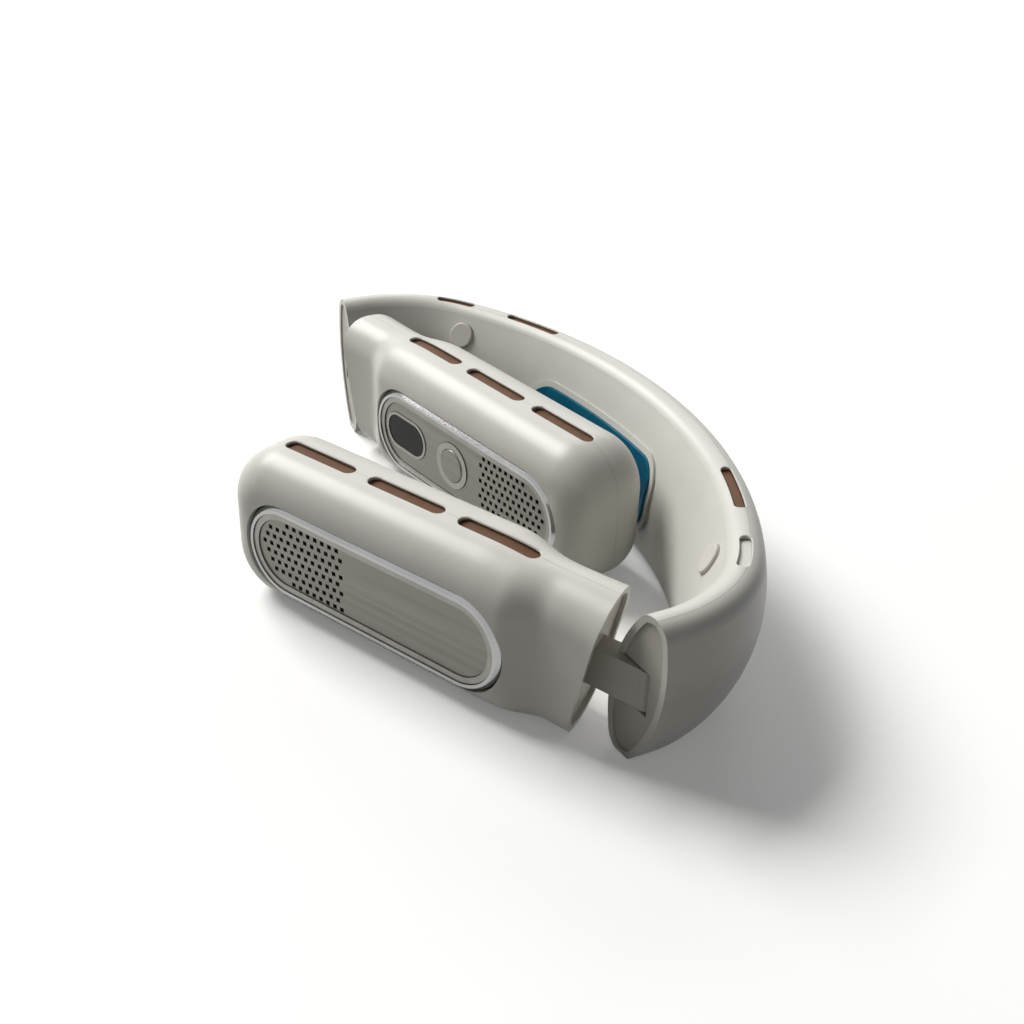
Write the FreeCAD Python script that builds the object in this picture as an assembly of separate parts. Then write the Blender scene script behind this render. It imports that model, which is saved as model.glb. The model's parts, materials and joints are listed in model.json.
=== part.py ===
import FreeCAD, Part
import math
import os

# Folding neck fan: a rigid neck band with two hinged fan arms, drawn with both arms folded.
# Lengths in mm, +Z up, resting on Z = 0. The band opens towards -Y; its near end is on +X.

V = FreeCAD.Vector
os.makedirs("parts", exist_ok=True)

# Overall sizes and fits
height = 45.0            # band and arms stand equally tall
wall = 1.8               # moulded shell wall
seam_gap = 0.06          # visible parting line between two shell halves
fit_gap = 0.15           # snug fixed fits
slide_gap = 0.15         # button in its ring
run_gap = 0.05           # radial running clearance on pins and shafts
move_gap = 0.5           # free space round a swinging piece
cut_over = 2.0           # overrun of every cut

# Neck band: a leaning oval carried along short limbs, corner arcs and one wide back arc
band_thickness = 18.6
band_end_radius = 5.5    # radius of the oval's top and bottom
band_lean = 12.0         # degrees, the top leans outward
base_flat = 0.6          # depth of the flat under the oval
end_half_span = 100.0    # crest line of each band end, from the middle
limb_straight = 5.3
corner_radius = 38.6     # crest line radius at the corners
band_depth = 62.8        # end plane to the crest line at the nape
end_skew = 6.0           # degrees, the end faces turn outward
band_slot_width = 3.4
band_slot_turns = ((44.0, 57.0), (63.5, 70.5))   # degrees turned along the crest line

band_duct_width = 6.0    # strip under the band's slots
band_duct_drop = 4.8     # its lower face below the top of the band
band_duct_over = 3.0     # degrees past each end of a slot

# Band ends and hinges
plate_inset = 0.5        # end plate below the shell's rim
plate_thickness = 1.0
pivot_inset = 3.4        # hinge axis behind the end plane
tongue_height = 11.5
tongue_thickness = 6.0
barrel_radius = 3.2
pin_radius = 1.2
pin_head_radius = 1.7
pin_head = 0.9
lug_thickness = 3.5
lug_slack = 0.2          # axial play of the barrel between the lugs
web_thickness = 2.0
near_fold = 64.4         # degrees folded in, 0 is fully open
far_fold = 102.4

# Cooling stack at the nape, from the skin outwards
cold_turn = 4.4          # degrees round the back arc, towards the far end
cold_width = 65.0
cold_height = 22.0
cold_corner = 8.0
cold_proud = 1.5
cold_seat_gap = 0.1
cold_boss = 16.0         # square boss through the shell
cold_boss_corner = 3.0
cold_boss_depth = 3.0    # from the wall's inside to the module
cold_drop = 3.0          # plate centre below the oval's centre
bezel_width = 1.8
bezel_proud = 0.8
module_side = 18.0
module_thickness = 2.4
sink_side = 17.0
sink_base = 1.2
fin_height = 3.0
fin_thickness = 0.8
fin_count = 9
fan_side = 15.0
fan_depth = 4.0
fan_wall = 1.0
fan_hub_radius = 3.2
fan_blade_count = 7
fan_blade_thickness = 0.7
fan_shaft_radius = 0.7
fan_hub_drop = 0.4       # rotor below the frame's rim
post_radius = 2.0

# Board and inlet in the back of the band
board_turn = -14.0       # degrees round the back arc, towards the near end
board_width = 26.0
board_height = 13.0
board_thickness = 1.2
board_offset = 1.5       # from the oval's middle outwards
socket_width = 9.0
socket_height = 3.3
socket_recess = 0.6

# Soft bumper pads on the inner wall
pad_turn = 57.7          # degrees turned along the crest line
pad_radius = 4.2
pad_flange_radius = 5.2
pad_flange = 1.0
pad_proud = 1.0
pad_rise = 13.5          # above the oval's centre

# Shell screws
screw_shank_radius = 1.0
screw_head_radius = 1.9
screw_head = 1.3
screw_grip = 8.0         # shank length in the boss and tower
thread_gap = 0.03
boss_radius = 2.6
tower_radius = 3.1
band_screw_turns = (30.0,)         # degrees turned along the crest line
band_screw_drop = 8.0    # below the oval's centre
band_screw_sink = 3.6    # head below the inner skin
arm_screw_sink = 3.2

# Fan arms, in their own frame: X from the hinge to the tip, Y out through the panel
arm_length = 132.0       # hinge axis to tip
arm_thickness = 29.0
arm_round = 11.0         # edge radius of the pod
tip_round = 15.5         # corner radius of the pod seen from its panel side
root_start = 14.4        # root end beyond the hinge axis at mid height
root_skew = 12.0         # degrees, the root end turns away from the band
waist_place = 24.0       # narrowest section
blend_place = 46.0       # the back has widened to the full pod
front_blend_place = 36.0 # the panel side widens sooner
blend_lead = 6.0
waist_half = 10.2
root_flare = 0.4
root_round_share = 0.93  # edge radius at the waist, of its half thickness
waist_drop = 1.0         # waist height lost at top and bottom
waist_step_count = 23
arm_slot_width = 4.8
arm_slot_runs = ((33.2, 58.6), (63.3, 89.2), (94.3, 119.6))
root_plate_inset = 1.2
root_plate = 2.0
flange_thickness = 3.0
flange_width = 13.0
flange_height = 24.0

# Panel set in the arm's outer face
panel_place = 77.8       # along the arm
panel_drop = 2.3         # below mid height
ring_length = 88.4
ring_height = 28.2
ring_width = 2.0
ring_bevel = 1.1
satin_width = 1.7
satin_drop = 0.4
panel_drop_in = 0.8      # panel face below the ring's face
panel_thickness = 1.4
groove = 0.5             # dark gap round the ring
tray_lip = 0.5
tray_flange = 1.3
tray_lip_gap = 0.8
grille_place = 101.6     # along the arm
grille_length = 30.0
grille_height = 19.0
grille_pitch = 2.6
hole_side = 1.35

# Display, button and board in the far arm
display_place = 49.2
display_length = 19.0
display_height = 10.5
display_rim = 0.9
display_lift = 0.25
button_place = 73.3
button_radius = 5.3
button_height = 1.9
button_edge = 0.5
button_travel = 0.6
button_ring_width = 2.0
button_ring_lift = 0.3
switch_side = 6.0
switch_height = 2.0
display_board_start = 37.0
display_board_end = 82.0
display_board_height = 14.0
display_board_thickness = 1.2

# Blower in each arm
blower_place = 101.6
blower_radius = 16.6
blower_wall = 1.2
blower_half_depth = 8.0
blower_boss_radius = 3.0
blower_boss_reach = 11.0
blower_boss_count = 3
outlet_height = 9.0
motor_radius = 6.0
motor_height = 3.0
shaft_radius = 1.0
impeller_radius = 14.4
impeller_hub_radius = 6.5
impeller_plate = 1.0
impeller_rise = 10.4
impeller_gap = 0.4
blade_count = 18
blade_thickness = 0.8
blade_start = 9.5
eye_ring_width = 1.6

# Cell and duct strip in each arm
cell_radius = 8.1
cell_start = 37.0
cell_length = 45.0
cell_cap_radius = 3.0
cell_cap = 1.2
cell_offset = 2.0        # towards the back shell
rib_places = (44.0, 74.0)
rib_thickness = 2.0
rib_half_height = 7.5
rib_reach = 6.0
duct_start = 34.0
duct_end = 84.0
duct_width = 9.6
duct_thickness = 1.0
duct_drop = 5.0          # below the top of the arm

# Worked-out places of the band
mid_z = height / 2
band_half = band_thickness / 2
lean = math.radians(band_lean)
end_centre = ((height + base_flat) / 2 - band_end_radius) / math.cos(lean)
oval_half = end_centre + band_end_radius
band_side_radius = band_half**2 + end_centre**2 - band_end_radius**2
band_side_radius = band_side_radius / (2 * (band_half - band_end_radius))
oval_x = -end_centre * math.sin(lean)
oval_z = (height - base_flat) / 2
out_reach = band_side_radius - (band_side_radius - band_half) * math.cos(lean) + oval_x
corner_x = end_half_span - corner_radius
corner_y = limb_straight
arc_rise = band_depth - limb_straight
back_radius = (corner_x**2 + arc_rise**2 - corner_radius**2) / (2 * (arc_rise - corner_radius))
back_y = band_depth - back_radius
corner_turn = 90.0 - math.degrees(math.atan2(corner_x, back_radius - arc_rise))
back_turn = 90.0 - corner_turn

# Worked-out places of the arms
arm_half = arm_thickness / 2
near_turn = 180.0 + (90.0 - near_fold)
far_turn = far_fold - 90.0
panel_z = mid_z - panel_drop
opening_length = ring_length + 2 * groove
opening_height = ring_height + 2 * groove
panel_face = arm_half - panel_drop_in
seat_face = panel_face - panel_thickness
lip_over_flat = opening_height / 2 + tray_lip + panel_drop - (mid_z - arm_round)
inner_round = arm_round - wall
lip_face = arm_half - arm_round + math.sqrt(inner_round**2 - lip_over_flat**2) - tray_lip_gap
tray_back = lip_face - tray_flange

# The origin is the middle of the folded object's box
tip_reach = math.cos(math.radians(near_fold)) * (arm_length - arm_round)
tip_reach += math.sin(math.radians(near_fold)) * (arm_half - arm_round) + arm_round
back_reach = band_depth - pivot_inset + out_reach
shift_y = (tip_reach - back_reach) / 2 - pivot_inset
pivot = V(end_half_span + oval_x, pivot_inset, 0)
up = V(0, 0, 1)
out = V(0, 1, 0)
mirror_x = V(1, 0, 0)


def box(x0, x1, y0, y1, z0, z1):
    return Part.makeBox(x1 - x0, y1 - y0, z1 - z0, V(x0, y0, z0))


def rod(radius, start, axis, length):
    return Part.makeCylinder(radius, length, start, axis)


def fused(shapes):
    return shapes[0].multiFuse(shapes[1:]).removeSplitter()


def closed_face(edges):
    return Part.Face(Part.Wire([edge.toShape() for edge in edges]))


def stadium_face(length, tall, y, x, z):
    # two straight runs and two half circles, standing in a plane of constant Y
    r = tall / 2
    half = length / 2 - r
    edges = [
        Part.LineSegment(V(x - half, y, z + r), V(x + half, y, z + r)),
        Part.Arc(V(x + half, y, z + r), V(x + half + r, y, z), V(x + half, y, z - r)),
        Part.LineSegment(V(x + half, y, z - r), V(x - half, y, z - r)),
        Part.Arc(V(x - half, y, z - r), V(x - half - r, y, z), V(x - half, y, z + r)),
    ]
    return closed_face(edges)


def stadium(length, tall, y0, y1, x, z):
    return stadium_face(length, tall, y0, x, z).extrude(V(0, y1 - y0, 0))


def rounded_edges(point, half_a, half_b, r):
    # rounded rectangle; point(a, b) places it in its plane
    d = r * math.sqrt(0.5)
    a0 = half_a - r
    b0 = half_b - r
    return [
        Part.LineSegment(point(-a0, half_b), point(a0, half_b)),
        Part.Arc(point(a0, half_b), point(a0 + d, b0 + d), point(half_a, b0)),
        Part.LineSegment(point(half_a, b0), point(half_a, -b0)),
        Part.Arc(point(half_a, -b0), point(a0 + d, -b0 - d), point(a0, -half_b)),
        Part.LineSegment(point(a0, -half_b), point(-a0, -half_b)),
        Part.Arc(point(-a0, -half_b), point(-a0 - d, -b0 - d), point(-half_a, -b0)),
        Part.LineSegment(point(-half_a, -b0), point(-half_a, b0)),
        Part.Arc(point(-half_a, b0), point(-a0 - d, b0 + d), point(-a0, half_b)),
    ]


def rounded_block(wide, tall, r, y0, y1, x, z):
    # rounded rectangle in X and Z, carried along Y
    face = closed_face(rounded_edges(lambda a, b: V(x + a, y0, z + b), wide / 2, tall / 2, r))
    return face.extrude(V(0, y1 - y0, 0))


def oval_face(inset):
    # four tangent arcs round the origin: two bulging sides, top and bottom
    b = band_half - inset
    end = band_end_radius - inset
    side = band_side_radius - inset
    toward = V(band_side_radius - band_half, 0, end_centre).normalize()
    tx = b - side + side * toward.x
    tz = side * toward.z
    corner = [V(tx, 0, tz), V(-tx, 0, tz), V(-tx, 0, -tz), V(tx, 0, -tz)]
    middle = [V(0, 0, end_centre + end), V(-b, 0, 0), V(0, 0, -end_centre - end), V(b, 0, 0)]
    return closed_face([Part.Arc(corner[i], middle[i], corner[(i + 1) % 4]) for i in range(4)])


def leaned(shape):
    # from the oval's own frame to a section with its crest at X = 0
    return shape.rotated(V(0, 0, 0), out, band_lean).translated(V(oval_x, 0, oval_z))


def section_part(face, x0, x1):
    # the part of a section between two planes along the oval, leaned and cut flat underneath
    tall = height
    side = Part.makePolygon([V(x0, 0, -tall), V(x1, 0, -tall), V(x1, 0, tall), V(x0, 0, tall), V(x0, 0, -tall)])
    above = Part.makePolygon([V(-tall, 0, 0), V(tall, 0, 0), V(tall, 0, 2 * tall), V(-tall, 0, 2 * tall), V(-tall, 0, 0)])
    return leaned(face.common(Part.Face(side))).common(Part.Face(above)).Faces[0]


def at_turn(shape, turn):
    # a shape drawn on the near limb's section plane, carried along the crest line
    if turn <= corner_turn:
        moved = shape.translated(V(end_half_span, corner_y, 0))
        return moved.rotated(V(corner_x, corner_y, 0), up, turn)
    moved = shape.translated(V(back_radius, 0, 0)).rotated(V(0, 0, 0), up, turn)
    return moved.translated(V(0, back_y, 0))


def at_back(shape, turn):
    # a shape drawn with Y outward from the oval's middle, set at the nape; + turns to the far side
    return at_turn(leaned(shape.rotated(V(0, 0, 0), up, -90.0)), 90.0 + turn)


def swept(face, first, last):
    # a section carried along the crest line from one turn to another
    solids = []
    if first < corner_turn:
        end = min(last, corner_turn)
        solids.append(at_turn(face, first).revolve(V(corner_x, corner_y, 0), up, end - first))
    if last > corner_turn:
        start = max(first, corner_turn)
        moved = face.translated(V(back_radius, 0, 0)).rotated(V(0, 0, 0), up, start)
        solids.append(moved.translated(V(0, back_y, 0)).revolve(V(0, back_y, 0), up, last - start))
    return solids


def along_band(face):
    # limb, corner and half the back, drawn once and mirrored; the end faces are skewed
    start = end_half_span * math.tan(math.radians(end_skew))
    limb = face.translated(V(end_half_span, -start, 0)).extrude(V(0, limb_straight + start, 0))
    whole = swept(face, corner_turn, 180.0 - corner_turn)
    for side in [limb] + swept(face, 0, corner_turn):
        whole += both_sides(side)
    return fused(whole).cut(both_sides(end_slab(-band_depth, 0)))


def end_slab(y0, y1):
    # everything between two planes parallel to the near end face
    slab = box(-band_thickness, band_thickness, y0, y1, -height, 2 * height)
    return slab.rotated(V(0, 0, 0), up, end_skew).translated(V(end_half_span + oval_x, 0, 0))


def end_plug(inset):
    # the limb's section as a bar through the end face and round the corner
    face = section_part(oval_face(inset), -band_thickness, band_thickness)
    limb = face.translated(V(end_half_span, -limb_straight, 0)).extrude(V(0, 2 * limb_straight, 0))
    return fused([limb] + swept(face, 0, corner_turn))


def band_slots():
    half = band_slot_width / 2
    low = height - 2 * wall
    high = height + cut_over
    mark = Part.Face(Part.makePolygon([V(-half, 0, low), V(half, 0, low), V(half, 0, high),
                                       V(-half, 0, high), V(-half, 0, low)]))
    end = rod(half, V(0, 0, low), up, high - low)
    cuts = []
    for first, last in band_slot_turns:
        cuts += swept(mark, first, last) + [at_turn(end, first), at_turn(end, last)]
    return sum((both_sides(cut) for cut in cuts), [])


def band_ducts():
    # strips that floor the slots, just below the crest
    half = band_duct_width / 2
    low = height - band_duct_drop
    high = low + duct_thickness
    mark = Part.Face(Part.makePolygon([V(-half, 0, low), V(half, 0, low), V(half, 0, high),
                                       V(-half, 0, high), V(-half, 0, low)]))
    first = band_slot_turns[0][0] - band_duct_over
    last = band_slot_turns[-1][1] + band_duct_over
    return both_sides(fused(swept(mark, first, last)))


def both_sides(shape):
    return [shape, shape.mirror(V(0, 0, 0), mirror_x)]


def tongue_window():
    # room for the hinge tongue to swing from the end plane to the inner wall
    tall = tongue_height / 2 + move_gap
    reach = pivot_inset + barrel_radius + tongue_thickness / 2 + move_gap
    x_out = pivot.x + barrel_radius + move_gap
    return box(pivot.x - band_thickness, x_out, -band_thickness, reach, mid_z - tall, mid_z + tall)


def band_screw(inset):
    # axis across the oval; the head is sunk from the inner skin
    seat = -band_half + band_screw_sink + screw_head
    axis = V(1, 0, 0)
    head = rod(screw_head_radius + inset, V(seat - screw_head, 0, -band_screw_drop), axis, screw_head)
    shank = rod(screw_shank_radius + inset, V(seat - screw_head, 0, -band_screw_drop), axis, screw_head + screw_grip)
    return leaned(fused([head, shank]))


def band_shells():
    ring = oval_face(0).cut(oval_face(wall))
    reach = band_thickness
    outer = along_band(section_part(ring, seam_gap / 2, reach))
    inner = along_band(section_part(ring, -reach, -seam_gap / 2))
    core = along_band(section_part(oval_face(wall / 2), -reach, reach))
    z = -band_screw_drop
    seat = -band_half + band_screw_sink + screw_head
    split = seat + wall
    axis = V(1, 0, 0)
    towers = []
    bosses = []
    cuts = band_slots()
    for turn in band_screw_turns:
        tower = leaned(rod(tower_radius, V(-band_half, 0, z), axis, split + band_half))
        boss = leaned(rod(boss_radius, V(split, 0, z), axis, band_half - split))
        towers += both_sides(at_turn(tower, turn))
        bosses += both_sides(at_turn(boss, turn))
        well = rod(screw_head_radius + fit_gap, V(-band_half - cut_over, 0, z), axis, seat + band_half + cut_over)
        cuts += both_sides(at_turn(fused([leaned(well), band_screw(thread_gap)]), turn))
    post_start = stack_start() + module_thickness + sink_base + fin_height + fan_depth
    for x in (-fan_side / 2 + post_radius, fan_side / 2 - post_radius):
        post = rod(post_radius, V(x, post_start, -cold_drop), out, band_half - post_start)
        bosses.append(at_back(post, cold_turn))
    board_back = board_offset + board_thickness
    for x in (-board_width / 2 + post_radius, board_width / 2 - post_radius):
        post = rod(post_radius, V(x, board_back, 0), out, band_half - board_back)
        bosses.append(at_back(post, board_turn))
    inner = fused([inner] + [tower.common(core) for tower in towers])
    outer = fused([outer] + [boss.common(core) for boss in bosses])
    boss_hole = cold_boss + 2 * fit_gap
    hole = rounded_block(boss_hole, boss_hole, cold_boss_corner, -band_thickness, 0, 0, -cold_drop)
    inner_cuts = cuts + both_sides(tongue_window()) + [at_back(hole, cold_turn)]
    pad_hole = rod(pad_radius + fit_gap, V(-band_half - cut_over, 0, 0), axis, 2 * cut_over + wall)
    inner_cuts += both_sides(at_pad(pad_hole))
    socket = stadium(socket_width + 2 * fit_gap, socket_height + 2 * fit_gap, 0, band_half + cut_over, 0, 0)
    return inner.cut(inner_cuts), outer.cut(cuts + [at_back(socket, board_turn)])


def end_plate():
    slab = end_slab(plate_inset, plate_inset + plate_thickness)
    return end_plug(wall + fit_gap).common(slab).cut(tongue_window())


def hinge_bracket():
    # two lugs that fill the limb above and below the barrel, joined by a web behind it
    web_start = pivot_inset + barrel_radius + move_gap
    end = web_start + web_thickness
    near = tongue_height / 2 + lug_slack
    far = near + lug_thickness
    x0 = pivot.x - band_thickness
    x1 = pivot.x + band_thickness
    lugs = [box(x0, x1, 0, end, mid_z + near, mid_z + far), box(x0, x1, 0, end, mid_z - far, mid_z - near)]
    web = box(pivot.x, x1, web_start, end, mid_z - far, mid_z + far)
    hole = rod(pin_radius + run_gap, pivot + V(0, 0, mid_z - far - cut_over), up, 2 * far + 2 * cut_over)
    solid = fused(lugs + [web]).common(end_plug(wall + fit_gap))
    return solid.cut([hole, end_slab(-band_depth, plate_inset + plate_thickness)])


def hinge_pin():
    reach = tongue_height / 2 + lug_slack + lug_thickness
    shank = rod(pin_radius, pivot + V(0, 0, mid_z - reach), up, 2 * reach)
    head = rod(pin_head_radius, pivot + V(0, 0, mid_z + reach), up, pin_head)
    return fused([shank, head])


def stack_start():
    return -band_half + wall + cold_boss_depth


def cold_skin(low, proud):
    # a layer that follows the inner skin of the band at the nape
    layer = oval_face(-proud).cut(oval_face(-low))
    return fused(swept(section_part(layer, -band_thickness, -band_half / 2), corner_turn, 180.0 - corner_turn))


def cold_outline(grow, y0, y1):
    wide = cold_width + 2 * grow
    tall = cold_height + 2 * grow
    return at_back(rounded_block(wide, tall, cold_corner + grow, y0, y1, 0, -cold_drop), cold_turn)


def cold_plate():
    front = -2 * band_thickness
    skin = cold_skin(cold_seat_gap, cold_proud).common(cold_outline(0, front, 0))
    boss = rounded_block(cold_boss, cold_boss, cold_boss_corner, front, stack_start(), 0, -cold_drop)
    inside = section_part(oval_face(-cold_seat_gap - cold_proud / 2), -band_thickness, 0)
    inside = fused(swept(inside, corner_turn, 180.0 - corner_turn))
    return fused([skin, at_back(boss, cold_turn).common(inside)])


def cold_bezel():
    front = -2 * band_thickness
    frame = cold_outline(bezel_width + fit_gap, front, 0).cut(cold_outline(fit_gap, front - cut_over, cut_over))
    return cold_skin(cold_seat_gap, bezel_proud).common(frame)


def square_block(side, y0, y1):
    return box(-side / 2, side / 2, y0, y1, -cold_drop - side / 2, -cold_drop + side / 2)


def cooling_stack():
    z = -cold_drop
    y = stack_start()
    module = square_block(module_side, y, y + module_thickness)
    y += module_thickness
    base = square_block(sink_side, y, y + sink_base)
    y += sink_base
    fins = []
    for i in range(fin_count):
        x = -sink_side / 2 + i * (sink_side - fin_thickness) / (fin_count - 1)
        fins.append(box(x, x + fin_thickness, y, y + fin_height, z - sink_side / 2, z + sink_side / 2))
    y += fin_height
    bore = fan_side / 2 - fan_wall
    frame = square_block(fan_side, y, y + fan_depth)
    frame = frame.cut(rod(bore, V(0, y - cut_over, z), out, fan_depth + 2 * cut_over))
    stay = box(-bore - fan_wall / 2, bore + fan_wall / 2, y + fan_depth - fan_wall, y + fan_depth,
               z - fan_hub_radius / 2, z + fan_hub_radius / 2)
    shaft = rod(fan_shaft_radius, V(0, y + fan_hub_drop, z), out, fan_depth - fan_hub_drop)
    frame = fused([frame, stay, shaft])
    hub_length = fan_depth - fan_wall - 2 * fan_hub_drop
    hub_y = y + fan_hub_drop
    blades = [rod(fan_hub_radius, V(0, hub_y, z), out, hub_length)]
    for i in range(fan_blade_count):
        blade = box(0, bore - move_gap, hub_y, hub_y + hub_length, z, z + fan_blade_thickness)
        blades.append(blade.rotated(V(0, hub_y, z), out, i * 360.0 / fan_blade_count))
    bore_cut = rod(fan_shaft_radius + run_gap, V(0, hub_y - cut_over, z), out, hub_length + 2 * cut_over)
    rotor = fused(blades).cut(bore_cut)
    return [at_back(shape, cold_turn) for shape in (module, fused([base] + fins), frame, rotor)]


def control_board():
    z0 = -board_height / 2
    board = box(-board_width / 2, board_width / 2, board_offset, board_offset + board_thickness, z0, z0 + board_height)
    return at_back(board, board_turn)


def charging_socket():
    start = board_offset + board_thickness
    shell = stadium(socket_width, socket_height, start, band_half - socket_recess, 0, 0)
    mouth = stadium(socket_width - wall, socket_height - wall / 2, band_half / 2, band_half, 0, 0)
    return at_back(shell.cut(mouth), board_turn)


def at_pad(shape):
    # tilts a shape drawn at mid height up the oval's inner side, then carries it along the band
    centre = V(band_side_radius - band_half, 0, 0)
    tilt = math.degrees(math.asin(pad_rise / band_side_radius))
    return at_turn(leaned(shape.rotated(centre, out, tilt)), pad_turn)


def bumper_pad():
    # a soft plug with a flange that bears on the cavity side of the wall
    axis = V(1, 0, 0)
    side = band_side_radius - wall
    sag = side - math.sqrt(side**2 - pad_flange_radius**2)
    seat = -band_half + wall + sag + fit_gap
    front = -band_half - pad_proud
    body = rod(pad_radius, V(front, 0, 0), axis, seat - front)
    rim = [edge for edge in body.Edges if edge.BoundBox.XMax < front + pad_proud / 2]
    body = body.makeFillet(pad_proud / 2, rim)
    return at_pad(fused([body, rod(pad_flange_radius, V(seat, 0, 0), axis, pad_flange)]))


def waist_share(place, blend):
    # 1 at the waist, falling to 0 on a cosine where the full pod begins
    run = min(max(place - waist_place, 0) / (blend - waist_place), 1)
    return 0.5 * (1 + math.cos(math.pi * run))


def arm_section(place, inset):
    back_share = waist_share(place, blend_place)
    flare = root_flare * (max(waist_place - place, 0) / (waist_place - root_start))**2
    narrow = arm_half - waist_half
    back = arm_half - narrow * back_share + flare
    front = arm_half - narrow * waist_share(place, front_blend_place) + flare
    half = (front + back) / 2
    shift = (front - back) / 2
    pod_share = arm_round / arm_half
    r = half * (pod_share + (root_round_share - pod_share) * back_share) - inset
    tall = mid_z - waist_drop * back_share - inset
    edges = rounded_edges(lambda y, z: V(place, shift + y, mid_z + z), half - inset, tall, r)
    return Part.Wire([edge.toShape() for edge in edges])


def arm_body(inset, lead):
    # waist loft, then a pod with every edge rounded; lead carries the root past its leaning end
    first = root_start - mid_z * math.tan(lean) - arm_half * math.tan(math.radians(root_skew)) - lead
    pod_start = blend_place + blend_lead
    step = (pod_start - first) / waist_step_count
    places = [first + i * step for i in range(waist_step_count + 1)]
    waist = Part.makeLoft([arm_section(place, inset) for place in places], True, False)
    half = arm_half - inset
    tall = mid_z - inset
    tip = arm_length - inset
    start = pod_start - 2 * tip_round
    run = (tip - start) / 2
    pod = closed_face(rounded_edges(lambda x, z: V(start + run + x, -half, mid_z + z), run, tall, tip_round - inset))
    pod = pod.extrude(V(0, 2 * half, 0))
    pod = pod.makeFillet(arm_round - inset, [edge for edge in pod.Edges if edge.BoundBox.YLength < half])
    pod = pod.common(box(pod_start, tip + cut_over, -arm_thickness, arm_thickness, -cut_over, height + cut_over))
    return fused([waist, pod]).cut(root_slab(-arm_length, -lead))


def root_slab(x0, x1):
    # everything between two planes parallel to the root's leaning end face
    slab = box(x0, x1, -arm_thickness, arm_thickness, -height, height)
    slab = slab.rotated(V(0, 0, 0), out, -band_lean).rotated(V(0, 0, 0), up, root_skew)
    return slab.translated(V(root_start, 0, mid_z))


def arm_screw_spots():
    # two beside the tip and two beside the waist, clear of the panel tray
    lip = opening_height / 2 + tray_lip
    tip_x = panel_place + opening_length / 2 + tray_lip - lip
    root_x = panel_place - opening_length / 2 - tray_lip + lip
    away = lip + boss_radius + move_gap
    diagonal = math.sqrt(0.5)
    steep = diagonal * away
    flat = math.sqrt(away**2 - (steep * waist_half / arm_half)**2)
    rise = steep * waist_half / arm_half
    return [(tip_x + steep, panel_z + steep), (tip_x + steep, panel_z - steep),
            (root_x - flat, panel_z + rise), (root_x - flat, panel_z - rise)]


def arm_screw(x, z, inset):
    seat = -arm_half + arm_screw_sink + screw_head
    head = rod(screw_head_radius + inset, V(x, seat - screw_head, z), out, screw_head)
    shank = rod(screw_shank_radius + inset, V(x, seat - screw_head, z), out, screw_head + screw_grip)
    return fused([head, shank])


def blower_bosses():
    start = -arm_half + wall / 2
    bosses = []
    for i in range(blower_boss_count):
        turn = math.radians(90.0 + i * 360.0 / blower_boss_count)
        x = blower_place + blower_boss_reach * math.cos(turn)
        z = panel_z + blower_boss_reach * math.sin(turn)
        bosses.append(rod(blower_boss_radius, V(x, start, z), out, -blower_half_depth - start))
    return bosses


def cell_rod(grow):
    start = V(cell_start - grow, -cell_offset, mid_z)
    return rod(cell_radius + grow, start, V(1, 0, 0), cell_length + 2 * grow)


def cell_ribs():
    ribs = []
    y0 = -arm_half + wall / 2
    for place in rib_places:
        x0 = place - rib_thickness / 2
        x1 = place + rib_thickness / 2
        ribs.append(box(x0, x1, y0, -cell_offset - rib_reach / 2, mid_z - rib_half_height, height - duct_drop))
        ribs.append(box(x0, x1, y0, duct_width / 2, height - duct_drop - rib_thickness, height - duct_drop))
    return [rib.cut(cell_rod(fit_gap)) for rib in ribs]


def arm_shells():
    body = arm_body(0, 0)
    shell = body.cut(arm_body(wall, cut_over))
    core = arm_body(wall / 2, 0)
    reach = arm_length + cut_over
    top = height + cut_over
    front = shell.common(box(0, reach, seam_gap / 2, arm_thickness, -cut_over, top))
    back = shell.common(box(0, reach, -arm_thickness, -seam_gap / 2, -cut_over, top))
    seat = -arm_half + arm_screw_sink + screw_head
    split = seat + wall
    towers = []
    bosses = []
    cuts = []
    for x, z in arm_screw_spots():
        towers.append(rod(tower_radius, V(x, -arm_half, z), out, split + arm_half))
        bosses.append(rod(boss_radius, V(x, split, z), out, arm_half - split))
        well = rod(screw_head_radius + fit_gap, V(x, -arm_half - cut_over, z), out, seat + arm_half + cut_over)
        cuts.append(fused([well, arm_screw(x, z, thread_gap)]))
    for start, end in arm_slot_runs:
        face = stadium_face(end - start, arm_slot_width, 0, (start + end) / 2, 0)
        face = face.rotated(V(0, 0, 0), V(1, 0, 0), 90.0).translated(V(0, 0, height - 2 * wall))
        cuts.append(face.extrude(V(0, 0, 2 * wall + cut_over)))
    back_solids = towers + blower_bosses() + cell_ribs()
    back = fused([back] + [solid.common(core) for solid in back_solids]).cut(cuts)
    opening = stadium(opening_length, opening_height, tray_back, arm_thickness, panel_place, panel_z)
    front = fused([front] + [boss.common(core) for boss in bosses]).cut(cuts + [opening])
    return front, back


def root_plate_block():
    plug = arm_body(wall + fit_gap, cut_over)
    plate = plug.common(root_slab(root_plate_inset, root_plate_inset + root_plate))
    y = tongue_thickness / 2 + fit_gap
    z = tongue_height / 2 + fit_gap
    return plate.cut(box(0, arm_length, -y, y, mid_z - z, mid_z + z))


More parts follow.
